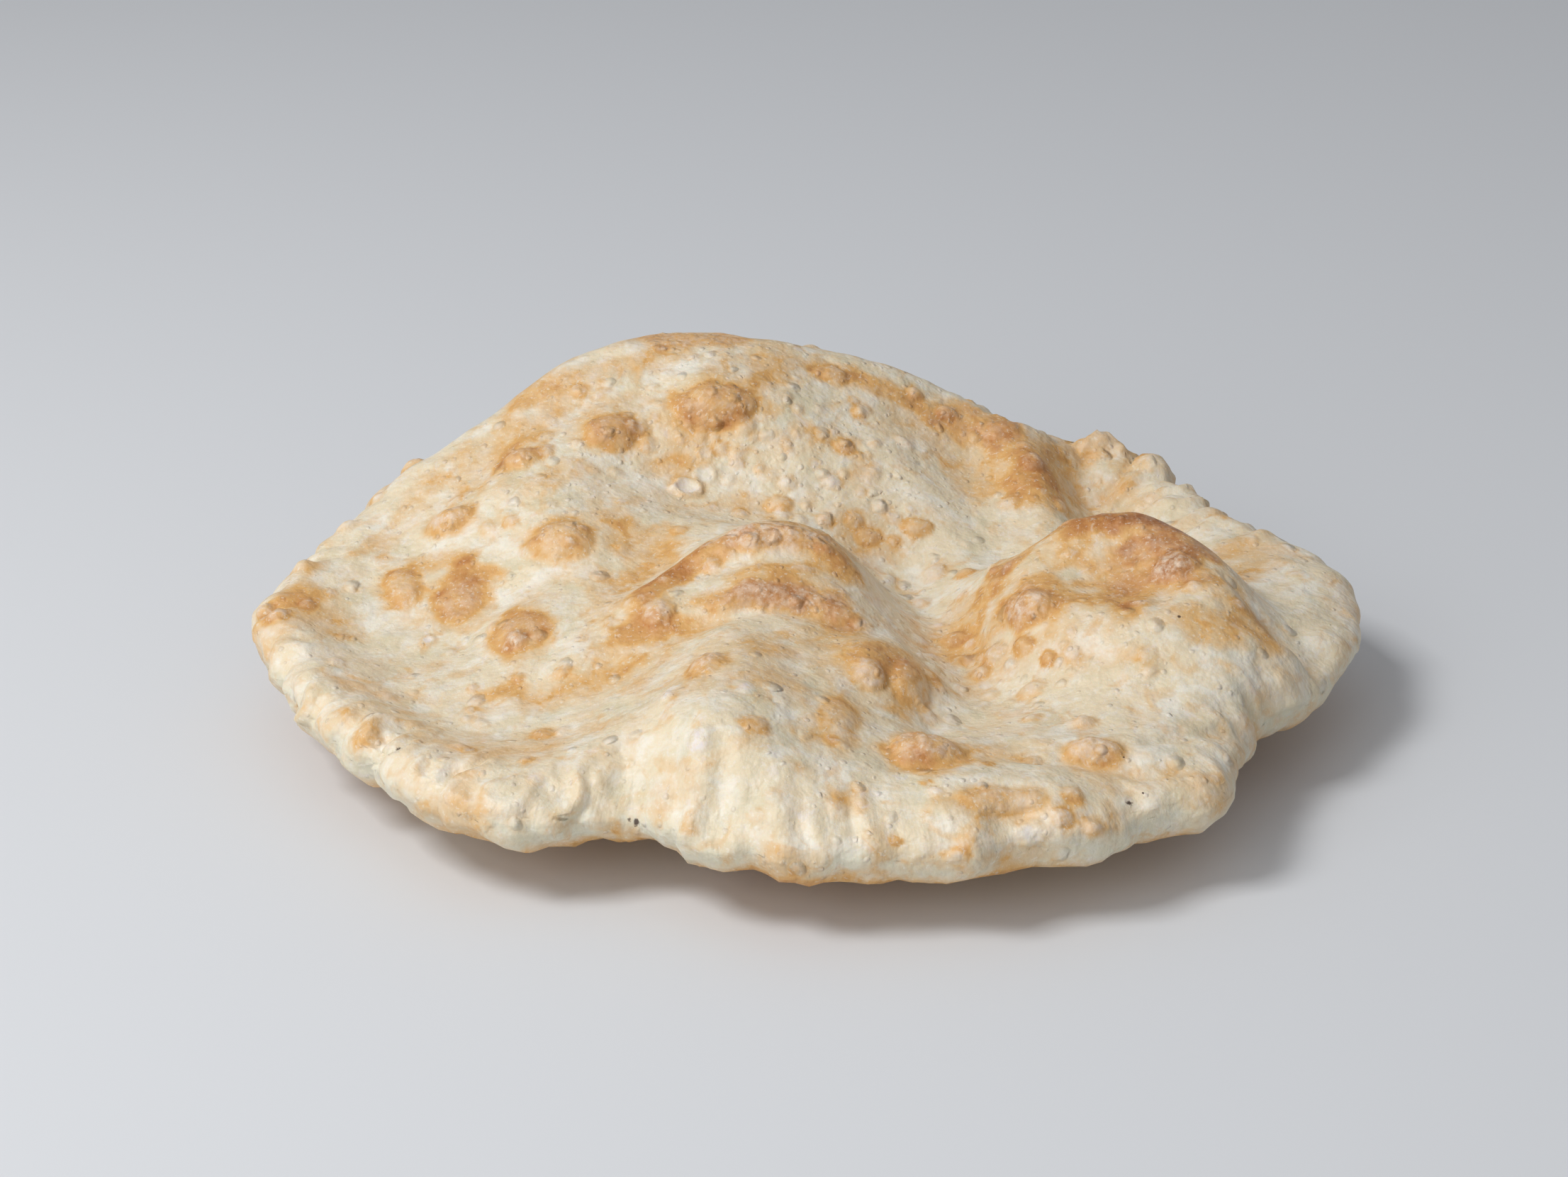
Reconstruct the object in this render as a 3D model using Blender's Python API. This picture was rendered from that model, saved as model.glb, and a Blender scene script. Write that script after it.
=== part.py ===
"""A bhatura: one whole puffed flatbread of fried wheat dough.

The bread is a hollow-looking pillow, modelled as one solid. Its rim is a rolled lip. A high dome stands at the
back, a folded hump in the middle, a second dome on the right, and valleys, a trough and large blisters lie between
them. The underside sags to a small flat resting spot. Sizes below are in millimetres; the solid is in metres.
"""

import math

import bmesh
import bpy
import numpy as np
from mathutils import Vector, noise

MM = 0.001

# Plan outline
OUTLINE_HALF_LENGTH = 121.9
OUTLINE_HALF_DEPTH = 110.8

# Rolled lip: its radius, thinner round the back right; how far inwards its upper half reaches, less at the back;
# the height of its middle, which rises at the back. A place round the rim is a middle and a width in degrees
LIP_RADIUS = 9.0
LIP_THINNER_BY = 2.0
BACK_RIGHT = (60, 60)
ROLL_WIDTH = 21.0
ROLL_NARROWER_BY = 9.0
BACK_AND_FLANGE = (80, 60)
RIM_HEIGHT = 20.0
RIM_RISE = 11.0
BACK = (95, 55)

# Height of the top's skin before its forms are added, in the middle of the plan
TOP_BASE_HEIGHT = 31.5
TOP_BASE_REACH = 0.85

# Underside
RESTING_SPOT = 0.27
BELLY_EDGE = 0.93

# Mesh
CELLS_PER_SIDE = 28
RIM_POLAR_ANGLE = math.radians(105)
LIP_STARTS_AT = 0.80

# Share of the plan radius over which the forms of the top die out at the rim, less where the skin hangs over
BROAD_FORMS_FADE = 0.24
FADE_SHORTER_BY = 0.09
FRONT = (262, 45)
FOLDS_FADE = 0.10
# Share at which the lobes and notches of the outline begin
LOBES_START_AT = 0.45

# Middle of the plan, from which the forms' places are counted
PLAN_MIDDLE_X = 7.0

# Lobes and notches of the outline: middle in degrees, width in degrees, amount
OUTLINE_LOBES = (
    ("left tip", 181.2, 5.2, 6.8),
    ("left front nick", 214.3, 2.2, -3.3),
    ("front left roll", 238.0, 7.4, 2.6),
    ("front left notch", 248.2, 5.7, -14.5),
    ("front notch", 263.0, 3.5, -2.5),
    ("front bump", 285.4, 2.2, 5.4),
    ("front right swell", 298.2, 4.9, 6.7),
    ("front right corner", 312.4, 4.3, 9.8),
    ("right crease", 331.3, 5.0, -5.8),
    ("right end", 1.7, 12.2, 8.2),
    ("flange waist", 23.7, 8.7, -7.4),
    ("flange corner", 46.7, 3.0, 8.0),
    ("notch behind the flange", 52.9, 5.0, -10.0),
)

# Broad forms of the top: place x, y; half-widths along and across; turn in degrees; height
TOP_FORMS = (
    ("back dome", -20, 76, 46, 25, -33, 25.8),
    ("back dome, left", -59, 62, 18, 27, 17, 9.5),
    ("back dome, right", 43, 78, 29, 10, -6, 11.4),
    ("left slope", -102, 50, 18, 10, 16, 21.9),
    ("mound left of the hump", -52, 22, 18, 13, -5, 8.3),
    ("front dome", -11, -74, 17, 40, -13, 13.0),
    ("hump", 2, -8, 18, 13, -1, 12.0),
    ("drop behind the hump's left flank", -27, -5, 9, 7, 40, -4.5),
    ("left end of the hump", -48, -18, 30, 17, 41, 6.7),
    ("right dome", 72, -4, 17, 10, 7, 17.4),
    ("right dome, shoulder", 97, -22, 11, 21, 29, 15.5),
    ("right dome, front", 72, -36, 24, 9, -33, 11.6),
    ("valley at the back", 71, 43, 20, 30, 5, -17.1),
    ("valley in the centre", 36, -9, 9, 28, 17, -13.1),
    ("valley at the front", 38, -64, 8, 17, -33, -5.2),
    ("hollow behind the hump", 7, 26, 26, 8, -16, -5.1),
    ("trough on the left", -76, -30, 40, 26, -48, -10.2),
    ("shoulder over the valley", 65, 49, 8, 24, 7, 16.4),
    ("hollow of the back", 22, 36, 12, 14, 1, -1.3),
    ("valley beside the right dome", 111, -8, 5, 17, 18, -4.5),
)

# Folds that run along a shallow arc: middle x, y; half length; arc rise per mm squared; turn in degrees;
# half-width on the near side; half-width on the far side; height
FOLDS = (
    ("crest of the hump", -3, -6, 21, -0.010, 0, 6.0, 3.5, 2.2),
    ("second crest", -2, -25, 20, -0.008, 0, 3.0, 4.5, 1.8),
    ("crease under the second crest", -2, -32, 18, -0.008, 0, 3.0, 3.0, -1.0),
    ("crease between the crests", -3, -17, 17, -0.008, 0, 3.5, 3.5, -1.2),
    ("ridge of the back dome", -44, 42, 36, -0.004, 24, 7.0, 5.0, 2.0),
    ("crest of the right dome", 78, -1, 26, -0.02, 0, 6.0, 4.0, 1.2),
    ("left flank of the hump", -33, -25, 21, -0.003, 48, 7.0, 3.5, 2.4),
    ("front right crease", 70, -85, 22, 0.004, -8, 3.0, 3.0, -1.6),
    ("front right roll", 108, -46, 17, -0.008, 16, 9.0, 5.0, 5.5),
    ("crease behind the front right roll", 113, -29, 15, -0.01, -32, 3.5, 4.0, -2.6),
    ("crease at the front left notch", -33, -88, 13, 0.0, 70, 3.5, 3.5, -2.0),
    ("trough behind the front left roll", -62, -56, 34, 0.002, -24, 6.0, 5.0, -1.6),
)

# Large blisters: place x, y; half-widths; turn in degrees; height
BLISTERS = (
    ("back ridge", -13, 54, 10.0, 9.0, 0, 3.2),
    ("back ridge, second", -39, 46, 7.0, 8.0, 0, 2.4),
    ("back ridge, third", -59, 39, 6.5, 5.5, 0, 1.8),
    ("left ridge", -76, 24, 6.5, 6.0, 0, 2.0),
    ("mound", -49, 8, 8.5, 8.0, 0, 2.2),
    ("left twin, left", -86, 7, 5.5, 9.0, 20, 2.0),
    ("left twin, right", -74, 4, 6.5, 10.0, -15, 2.2),
    ("left oval", -58, -21, 7.5, 9.5, 0, 2.4),
    ("second crest, left end", -26, -27, 5.0, 5.5, 0, 2.0),
    ("valley side", 25, -47, 9.0, 12.0, 0, 3.4),
    ("valley side, crumpled", 20, -50, 5.0, 6.0, 0, 1.8),
    ("valley mouth", 33, -77, 9.0, 9.0, -10, 2.8),
    ("front slope, long", 13, -74, 6.0, 9.0, 0, 1.4),
    ("right dome, left flank", 57, -26, 8.0, 8.5, -20, 2.6),
    ("right dome, top", 89, -21, 6.5, 7.0, 0, 1.6),
    ("front fold", 67, -80, 8.5, 5.0, 0, 2.2),
    ("front bar", 43, -97, 12.0, 4.5, 0, 2.2),
    ("hump side", 17, 30, 5.0, 5.0, 0, 1.2),
    ("right back", 66, 53, 9.0, 8.0, -30, 1.4),
)

# Radial ruffles of the rim: middle in degrees, width in degrees, waves per degree, amount, depth inwards; and the
# sideways part of a ruffle, as a share of its height
RUFFLE_SIDEWAYS = 0.6
RUFFLES = (
    ("flange", 36, 13, 0.125, 2.2, 0.30),
    ("left rim", 186, 30, 0.085, 1.0, 0.16),
    ("front rim", 275, 40, 0.095, 0.9, 0.14),
    ("right rim", 335, 22, 0.080, 1.2, 0.20),
    ("back rim", 112, 40, 0.075, 1.3, 0.18),
)

# Small unevenness: wavelength, amount; its share at the rim, and the share of the plan radius over which it grows
UNEVENNESS = ((34.0, 1.0), (15.0, 0.7), (8.0, 0.4))
UNEVENNESS_AT_THE_RIM = 0.4
UNEVENNESS_FADE = 0.2

# Bulges of the underside, highest half way between the resting spot and the rim
UNDERSIDE_BULGES = 2.6
UNDERSIDE_WAVELENGTH = 42.0
UNDERSIDE_NOISE_LEVEL = -60.0

# Golden dough with a thin sheen of oil
DOUGH_COLOUR = (0.66, 0.46, 0.23, 1.0)
DOUGH_ROUGHNESS = 0.45


def smooth_step(value):
    """Rises from 0 to 1 with no kink as value goes from 0 to 1."""
    value = min(max(value, 0.0), 1.0)
    return value * value * (3.0 - 2.0 * value)


def angle_from(angle, middle):
    """Signed angle from the middle of a feature, in degrees, the short way round."""
    return (angle - middle + 180.0) % 360.0 - 180.0


def angular_bump(angle, middle, width):
    """A bell of height 1 round the compass, angles in degrees."""
    return math.exp(-0.5 * (angle_from(angle, middle) / width) ** 2)


def ellipse_radius(angle):
    """Plan radius of the plain ellipse at this angle."""
    turn = math.radians(angle)
    along = OUTLINE_HALF_DEPTH * math.cos(turn)
    across = OUTLINE_HALF_LENGTH * math.sin(turn)
    return OUTLINE_HALF_LENGTH * OUTLINE_HALF_DEPTH / math.hypot(along, across)


def outline_excess(angle):
    """What the named lobes, notches and ruffles add to the ellipse's radius at this angle."""
    total = 0.0
    for _, middle, width, amount in OUTLINE_LOBES:
        total += amount * angular_bump(angle, middle, width)
    for _, middle, width, rate, amount, _ in RUFFLES:
        wave = math.sin(math.tau * rate * angle_from(angle, middle))
        total += RUFFLE_SIDEWAYS * amount * wave * angular_bump(angle, middle, width)
    return total


def rim_height(angle):
    """Height of the middle of the lip: it rises towards the back."""
    return RIM_HEIGHT + RIM_RISE * angular_bump(angle, *BACK)


def lip_radius(angle):
    """Radius of the rolled lip: the ruffled back right is thinner."""
    return LIP_RADIUS - LIP_THINNER_BY * angular_bump(angle, *BACK_RIGHT)


def roll_width(angle):
    """How far inwards the upper half of the lip reaches: the roll is broad at the front and narrow at the back."""
    return ROLL_WIDTH - ROLL_NARROWER_BY * angular_bump(angle, *BACK_AND_FLANGE)


def forms_fade(angle):
    """Share of the plan radius over which the broad forms die out: shorter at the front, where the skin hangs over."""
    return BROAD_FORMS_FADE - FADE_SHORTER_BY * angular_bump(angle, *FRONT)


def turned(x, y, middle_x, middle_y, degrees):
    """Coordinates along and across a form that is turned in the plan."""
    turn = math.radians(degrees)
    dx, dy = x - middle_x, y - middle_y
    along = dx * math.cos(turn) + dy * math.sin(turn)
    across = dy * math.cos(turn) - dx * math.sin(turn)
    return along, across


def broad_relief(x, y):
    """Sum of the broad domes and hollows."""
    total = 0.0
    for _, middle_x, middle_y, half_x, half_y, degrees, height in TOP_FORMS:
        along, across = turned(x, y, middle_x, middle_y, degrees)
        total += height * math.exp(-0.5 * ((along / half_x) ** 2 + (across / half_y) ** 2))
    return total


def fold_relief(x, y):
    """Sum of the folds and creases, each sharper than the forms that carry it."""
    total = 0.0
    for _, middle_x, middle_y, half_length, arc, degrees, near, far, height in FOLDS:
        along, across = turned(x, y, middle_x, middle_y, degrees)
        across -= arc * along * along
        width = far if across > 0 else near
        ends = math.exp(-((along / half_length) ** 4))
        total += height * ends * math.exp(-0.5 * (across / width) ** 2)
    return total


def blister_relief(x, y):
    """Sum of the large blisters: round caps with a soft foot."""
    total = 0.0
    for _, middle_x, middle_y, half_x, half_y, degrees, height in BLISTERS:
        along, across = turned(x, y, middle_x, middle_y, degrees)
        distance = (along / half_x) ** 2 + (across / half_y) ** 2
        total += height / (1.0 + distance ** 2)
    return total


def rim_ruffle(angle, share):
    """Radial waves that start at the rim and die out inwards."""
    total = 0.0
    for _, middle, width, rate, amount, depth in RUFFLES:
        inward = smooth_step(1.0 - (1.0 - share) / depth)
        wave = math.cos(math.tau * rate * angle_from(angle, middle))
        total += amount * wave * inward * angular_bump(angle, middle, width)
    return total


def unevenness(x, y, z):
    """Seeded bumps of several sizes."""
    total = 0.0
    for wavelength, amount in UNEVENNESS:
        total += amount * noise.noise(Vector((x, y, z)) / wavelength)
    return total


def lip_section(step):
    """Shares of the lip radius outwards and upwards, at this step from the crown to the rim."""
    if step <= LIP_STARTS_AT:
        return 0.0, 1.0
    turn = (step - LIP_STARTS_AT) / (1.0 - LIP_STARTS_AT) * math.pi / 2
    return math.sin(turn), math.cos(turn)


def surface_point(direction):
    """The point of the bread's skin that lies in this direction of a ball."""
    angle = math.degrees(math.atan2(direction.y, direction.x)) % 360.0
    polar = math.acos(min(max(direction.z, -1.0), 1.0))
    on_top = polar <= RIM_POLAR_ANGLE
    step = polar / RIM_POLAR_ANGLE if on_top else (math.pi - polar) / (math.pi - RIM_POLAR_ANGLE)
    excess, lip = outline_excess(angle), lip_radius(angle)
    radius = ellipse_radius(angle) + excess
    width = roll_width(angle) if on_top else lip
    outwards, upwards = lip_section(step)
    inner = min(step / LIP_STARTS_AT, 1.0)
    reached = ellipse_radius(angle) + excess * smooth_step((inner - LOBES_START_AT) / (1.0 - LOBES_START_AT))
    plan = (reached - width) * inner + width * outwards
    share = plan / radius
    x = plan * math.cos(math.radians(angle)) + PLAN_MIDDLE_X
    y = plan * math.sin(math.radians(angle))
    middle = rim_height(angle) + rim_ruffle(angle, share)
    if on_top:
        edge = middle + lip * upwards
        z = TOP_BASE_HEIGHT + (edge - TOP_BASE_HEIGHT) * smooth_step(share / TOP_BASE_REACH)
        z += smooth_step((1.0 - share) / forms_fade(angle)) * broad_relief(x, y)
        z += smooth_step((1.0 - share) / FOLDS_FADE) * (fold_relief(x, y) + blister_relief(x, y))
        grown = smooth_step((1.0 - share) / UNEVENNESS_FADE)
        z += (UNEVENNESS_AT_THE_RIM + (1.0 - UNEVENNESS_AT_THE_RIM) * grown) * unevenness(x, y, z)
        return Vector((x, y, z))
    z = middle - lip * upwards
    sag = smooth_step((BELLY_EDGE - share) / (BELLY_EDGE - RESTING_SPOT))
    z *= 1.0 - sag
    bulge = noise.noise(Vector((x, y, UNDERSIDE_NOISE_LEVEL)) / UNDERSIDE_WAVELENGTH)
    half_way = 4.0 * sag * (1.0 - sag)
    z += UNDERSIDE_BULGES * bulge * half_way
    return Vector((x, y, max(z, 0.0)))


def ball_mesh():
    """A cube with square cells, swollen to a ball whose cells are nearly equal."""
    mesh = bmesh.new()
    bmesh.ops.create_cube(mesh, size=2.0)
    bmesh.ops.subdivide_edges(mesh, edges=mesh.edges, cuts=CELLS_PER_SIDE - 1, use_grid_fill=True)
    for vertex in mesh.verts:
        even = [math.tan(value * math.pi / 4) for value in vertex.co]
        vertex.co = Vector(even).normalized()
    return mesh


def rest_on_origin(mesh):
    """Moves the mesh so that the middle of its lowest plane is the origin, and turns millimetres to metres."""
    points = np.array([vertex.co for vertex in mesh.verts])
    low, high = points.min(axis=0), points.max(axis=0)
    shift = Vector(((low[0] + high[0]) / 2, (low[1] + high[1]) / 2, low[2]))
    for vertex in mesh.verts:
        vertex.co = (vertex.co - shift) * MM


def fried_dough():
    """Fried wheat dough: pale golden, with a thin sheen of oil."""
    material = bpy.data.materials.new("fried_dough")
    material.use_nodes = True
    shader = material.node_tree.nodes["Principled BSDF"]
    shader.inputs["Base Color"].default_value = DOUGH_COLOUR
    shader.inputs["Roughness"].default_value = DOUGH_ROUGHNESS
    return material


def build():
    """Makes the one solid of the bread."""
    for old in list(bpy.data.objects):
        bpy.data.objects.remove(old, do_unlink=True)
    noise.seed_set(11)
    mesh = ball_mesh()
    for vertex in mesh.verts:
        vertex.co = surface_point(vertex.co)
    rest_on_origin(mesh)
    bmesh.ops.recalc_face_normals(mesh, faces=mesh.faces)
    for face in mesh.faces:
        face.smooth = True
    data = bpy.data.meshes.new("bhatura")
    mesh.to_mesh(data)
    mesh.free()
    data.materials.append(fried_dough())
    bread = bpy.data.objects.new("bhatura", data)
    bpy.context.scene.collection.objects.link(bread)


build()
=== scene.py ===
"""The looks of a bhatura: one puffed flatbread of fried wheat dough, with browned and blistered skin."""

import logging
import math
from dataclasses import dataclass, field
from enum import Enum
from typing import Any, ClassVar

import bpy
import numpy as np
from mathutils import Matrix, Vector, noise

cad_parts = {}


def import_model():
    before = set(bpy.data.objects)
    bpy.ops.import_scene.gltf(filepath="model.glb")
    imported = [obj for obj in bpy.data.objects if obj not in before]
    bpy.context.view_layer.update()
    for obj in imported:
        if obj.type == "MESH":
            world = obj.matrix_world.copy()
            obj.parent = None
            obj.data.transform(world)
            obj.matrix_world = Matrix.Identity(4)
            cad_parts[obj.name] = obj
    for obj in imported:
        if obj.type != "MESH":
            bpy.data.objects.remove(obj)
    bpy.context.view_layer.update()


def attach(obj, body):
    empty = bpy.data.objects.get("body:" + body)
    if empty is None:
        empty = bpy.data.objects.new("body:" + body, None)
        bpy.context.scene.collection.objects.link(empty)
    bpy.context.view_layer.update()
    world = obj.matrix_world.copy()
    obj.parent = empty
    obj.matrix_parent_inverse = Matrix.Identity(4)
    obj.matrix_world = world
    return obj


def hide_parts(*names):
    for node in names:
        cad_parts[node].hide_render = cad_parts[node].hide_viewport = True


LOG = logging.getLogger("bhatura")
MM = 0.001


def linear(code: str) -> tuple[float, float, float, float]:
    """Turns an sRGB hex colour into linear values for a shader.

    Args:
        code: Six hex digits after a hash sign.

    Returns:
        Red, green, blue and an alpha of 1.
    """
    shares = [int(code[i : i + 2], 16) / 255 for i in (1, 3, 5)]
    values = [s / 12.92 if s <= 0.04045 else ((s + 0.055) / 1.055) ** 2.4 for s in shares]
    return (values[0], values[1], values[2], 1.0)


def per_size(size_mm: float) -> float:
    """Texture scale on Object coordinates, in metres, that gives features of this size."""
    return 1.0 / (size_mm * MM)


def add_node(
    tree: bpy.types.NodeTree, kind: str, inputs: dict[Any, Any] | None = None, **settings: Any
) -> Any:
    """Adds a node with its settings and links.

    Args:
        tree: The tree that gets the node.
        kind: Blender's name of the node's type.
        inputs: Value or output socket for each input, by the input's name or number.
        **settings: Properties of the node.

    Returns:
        The new node.
    """
    made = tree.nodes.new(kind)
    for name, value in settings.items():
        setattr(made, name, value)
    for key, value in (inputs or {}).items():
        if isinstance(value, bpy.types.NodeSocket):
            tree.links.new(value, made.inputs[key])
        else:
            made.inputs[key].default_value = value
    return made


def smooth_step(values: np.ndarray) -> np.ndarray:
    """Rises from 0 to 1 with no kink as the values go from 0 to 1."""
    held = np.clip(values, 0.0, 1.0)
    return held * held * (3.0 - 2.0 * held)


def bell(values: np.ndarray, middle: float, width: float) -> np.ndarray:
    """A bell of height 1 round the middle."""
    return np.exp(-(((values - middle) / width) ** 2))


def noise_at(points: np.ndarray, size: float, shift: float = 0.0) -> np.ndarray:
    """Smooth seeded noise at each point.

    Args:
        points: Places in millimetres.
        size: Size of the noise's bumps in millimetres.
        shift: A shift that gives another pattern.

    Returns:
        Values from about -1 to 1.
    """
    return np.array([noise.noise(Vector(p)) for p in points / size + shift])


class BlisterKind(Enum):
    """The sorts of blister that frying leaves: height, browning, halo, dry skin and painted highlight, ring
    share, wrinkles.
    """

    BROWN = (0.36, 0.24, 0.20, 0.38, 0.0, 0.18)
    PALE = (0.36, 0.04, 0.22, 0.75, 0.0, 0.15)
    WHITE = (0.30, -0.35, 0.12, 1.00, 0.0, 0.10)
    ORANGE = (0.42, 0.50, 0.10, 0.20, 0.0, 0.10)
    CRUMPLED = (0.38, 0.20, 0.28, 0.82, 0.0, 0.75)
    RING = (0.36, 0.06, 0.30, 0.75, 0.8, 0.20)
    LENS = (0.22, 0.02, 0.20, 0.55, 0.5, 0.10)
    PLAIN = (0.32, 0.10, 0.14, 0.25, 0.0, 0.10)
    PUFF = (0.38, 0.00, 0.00, 0.25, 0.0, 0.20)
    PIT = (-0.60, 0.10, 0.00, 0.00, 0.0, 0.00)

    def __init__(
        self, height: float, browning: float, halo: float, dry_skin_and_highlight: float, ring: float, wrinkles: float
    ) -> None:
        """Keeps what the kind's numbers mean."""
        self.height = height
        self.browning = browning
        self.halo = halo
        self.dry_skin_and_highlight = dry_skin_and_highlight
        self.ring = ring
        self.wrinkles = wrinkles


@dataclass(frozen=True)
class Blister:
    """One blister that a steam bubble raised, placed on the top in millimetres."""

    x: float
    y: float
    half_width: float
    half_depth: float
    kind: BlisterKind
    turn: float = 0.0
    lift: float = 1.0

    @property
    def size(self) -> float:
        """Mean half-size."""
        return math.sqrt(self.half_width * self.half_depth)


@dataclass(frozen=True)
class BrownPatch:
    """One patch where the skin touched hotter oil, placed on the top in millimetres.

    The dry share turns the patch greyer and pinker, partly as dry skin and partly as a painted highlight, and
    crumples it. A negative strength makes a pale patch.
    """

    x: float
    y: float
    half_width: float
    half_depth: float
    turn: float
    strength: float
    dry: float = 0.0


@dataclass(frozen=True)
class Crease:
    """One fold line of the skin: a groove, or a ridge where its depth is negative, in millimetres."""

    x: float
    y: float
    half_length: float
    turn: float
    width: float
    depth: float
    arc: float = 0.0


@dataclass(frozen=True)
class Pleats:
    """Radial pleats of the rim: middle, half-width and spacing in degrees, height, share where they begin."""

    middle: float
    half_width: float
    spacing: float
    height: float
    begins_at: float


@dataclass(frozen=True)
class BlisteredArea:
    """A round area of the top, in millimetres, and the share of its places that have a small blister."""

    x: float
    y: float
    radius: float
    density: float


@dataclass(frozen=True)
class Bubbles:
    """Sockets of one layer of drawn bubbles: height of the domes, foot line, a random value for each."""

    dome: Any
    foot: Any
    chance: Any


@dataclass(frozen=True)
class FriedDough:
    """Fried wheat dough: to the eye a pale cream crust, golden to brown where it met hotter oil.

    Thin dry skin over the blisters looks cooler and whiter than the rest, and the same pale tone is also a
    painted highlight on the blister tops. A film of oil gives a soft sheen, and the crust lets a little light
    in. Sizes of patterns are in millimetres, and so are the place and the radius of each charred speck.
    """

    cream: str = "#e8d8b9"
    milky_white: str = "#efe9da"
    thin_skin: str = "#d0c6a5"
    # The lip colour is partly a paler, less-fried crust and partly painted cool light on the lip's sides.
    lip_skin_and_cool_light: str = "#dedac3"
    peach: str = "#e1c098"
    golden: str = "#deae6b"
    brown: str = "#c18549"
    dark_brown: str = "#a0622d"
    # The dry-skin colours are partly real dry skin and partly a painted highlight on the blister tops.
    dry_skin_and_highlight: str = "#ebe1da"
    dry_brown_skin_and_highlight: str = "#e2c8ae"
    char: str = "#3a1d10"
    roughness: float = 0.50
    index_of_refraction: float = 1.45
    light_depth_mm: float = 1.6
    milky_size: float = 8.0
    thin_size: float = 12.0
    peach_size: float = 15.0
    streak_size: float = 3.0
    blotch_size: float = 21.0
    stain_size: float = 7.0
    freckle_size: float = 2.8
    fleck_size: float = 3.4
    grain_size: float = 0.9
    ragged_edge_size: float = 4.5
    dry_flake_size: float = 2.2
    gloss_size: float = 9.0
    lump_size: float = 4.2
    wrinkle_size: float = 3.0
    pore_size: float = 1.0
    rim_ripple_size: float = 2.8
    speck_edge_size: float = 0.8
    # The finest real bubbles are about 0.3 mm; the fine layer is drawn at 2.4 mm so that it shows.
    coarse_bubbles: float = 6.5
    fine_bubbles: float = 2.4
    specks: tuple[tuple[float, float, float, float], ...] = (
        (-87.0, -70.0, 26.0, 0.9), (-36.0, -92.0, 19.0, 0.9), (-37.3, -91.0, 19.5, 0.6),
        (-90.0, -73.0, 19.0, 0.5), (-120.0, -19.0, 26.0, 0.6), (65.0, -83.0, 28.0, 0.5),
        (65.0, -95.0, 24.0, 0.7), (66.3, -94.4, 24.5, 0.5), (68.0, -93.0, 25.0, 0.4),
        (81.0, -42.0, 41.0, 0.6), (90.0, -48.0, 36.0, 0.5), (78.0, -21.0, 44.0, 0.5),
    )

    def material(self) -> bpy.types.Material:
        """Builds the crust's material.

        Returns:
            The finished material.
        """
        made = bpy.data.materials.new("fried_wheat_dough")
        made.use_nodes = True
        tree = made.node_tree
        tree.nodes.clear()
        place = add_node(tree, "ShaderNodeTexCoord").outputs["Object"]
        along_rim = self._along_rim(tree, place)
        density = self._carried(tree, "blistered")
        coarse = self._bubbles(tree, place, self.coarse_bubbles, density)
        fine = self._bubbles(tree, place, self.fine_bubbles, density)
        browning = self._browning(tree, place, coarse)
        colour = self._colour(tree, place, along_rim, browning, coarse, fine)
        shader = add_node(
            tree, "ShaderNodeBsdfPrincipled",
            {"Base Color": colour, "Roughness": self._roughness(tree, place), "IOR": self.index_of_refraction,
             "Subsurface Weight": 0.12, "Subsurface Radius": (1.0, 0.6, 0.35),
             "Subsurface Scale": self.light_depth_mm * MM, "Coat Weight": 0.06, "Coat Roughness": 0.30,
             "Normal": self._relief(tree, place, along_rim, coarse, fine)},
        )
        add_node(tree, "ShaderNodeOutputMaterial", {"Surface": shader.outputs["BSDF"]})
        return made

    @staticmethod
    def _carried(tree: bpy.types.NodeTree, name: str) -> Any:
        """Socket of a value that the mesh carries."""
        return add_node(tree, "ShaderNodeAttribute", attribute_name=name).outputs["Fac"]

    @staticmethod
    def _math(
        tree: bpy.types.NodeTree, operation: str, first: Any, second: Any = 0.0, clamp: bool = False
    ) -> Any:
        """Socket of a sum, a product or the like."""
        made = add_node(tree, "ShaderNodeMath", {0: first, 1: second}, operation=operation, use_clamp=clamp)
        return made.outputs[0]

    @staticmethod
    def _ranged(
        tree: bpy.types.NodeTree, value: Any, low: Any, high: Any, least: float, most: float,
        smooth: bool = False,
    ) -> Any:
        """Maps a value from one range to another and holds it there.

        Args:
            tree: The material's tree.
            value: The socket to map.
            low: Where the range starts.
            high: Where it ends.
            least: What the start becomes.
            most: What the end becomes.
            smooth: Whether both ends are rounded.

        Returns:
            The mapped socket.
        """
        kind = "SMOOTHSTEP" if smooth else "LINEAR"
        ends = {0: value, 1: low, 2: high, 3: least, 4: most}
        return add_node(tree, "ShaderNodeMapRange", ends, interpolation_type=kind).outputs[0]

    @staticmethod
    def _noise(
        tree: bpy.types.NodeTree, place: Any, size: float, detail: float = 3.0, roughness: float = 0.55,
        distortion: float = 0.0,
    ) -> Any:
        """Socket of noise with features of this size in millimetres."""
        made = add_node(
            tree, "ShaderNodeTexNoise",
            {"Vector": place, "Scale": per_size(size), "Detail": detail, "Roughness": roughness,
             "Distortion": distortion})
        return made.outputs["Fac"]

    @staticmethod
    def _mixed(tree: bpy.types.NodeTree, share: Any, under: Any, over: Any) -> Any:
        """Lays one colour over another by a share."""
        made = add_node(tree, "ShaderNodeMix", {0: share, 6: under, 7: over}, data_type="RGBA")
        return made.outputs[2]

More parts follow.
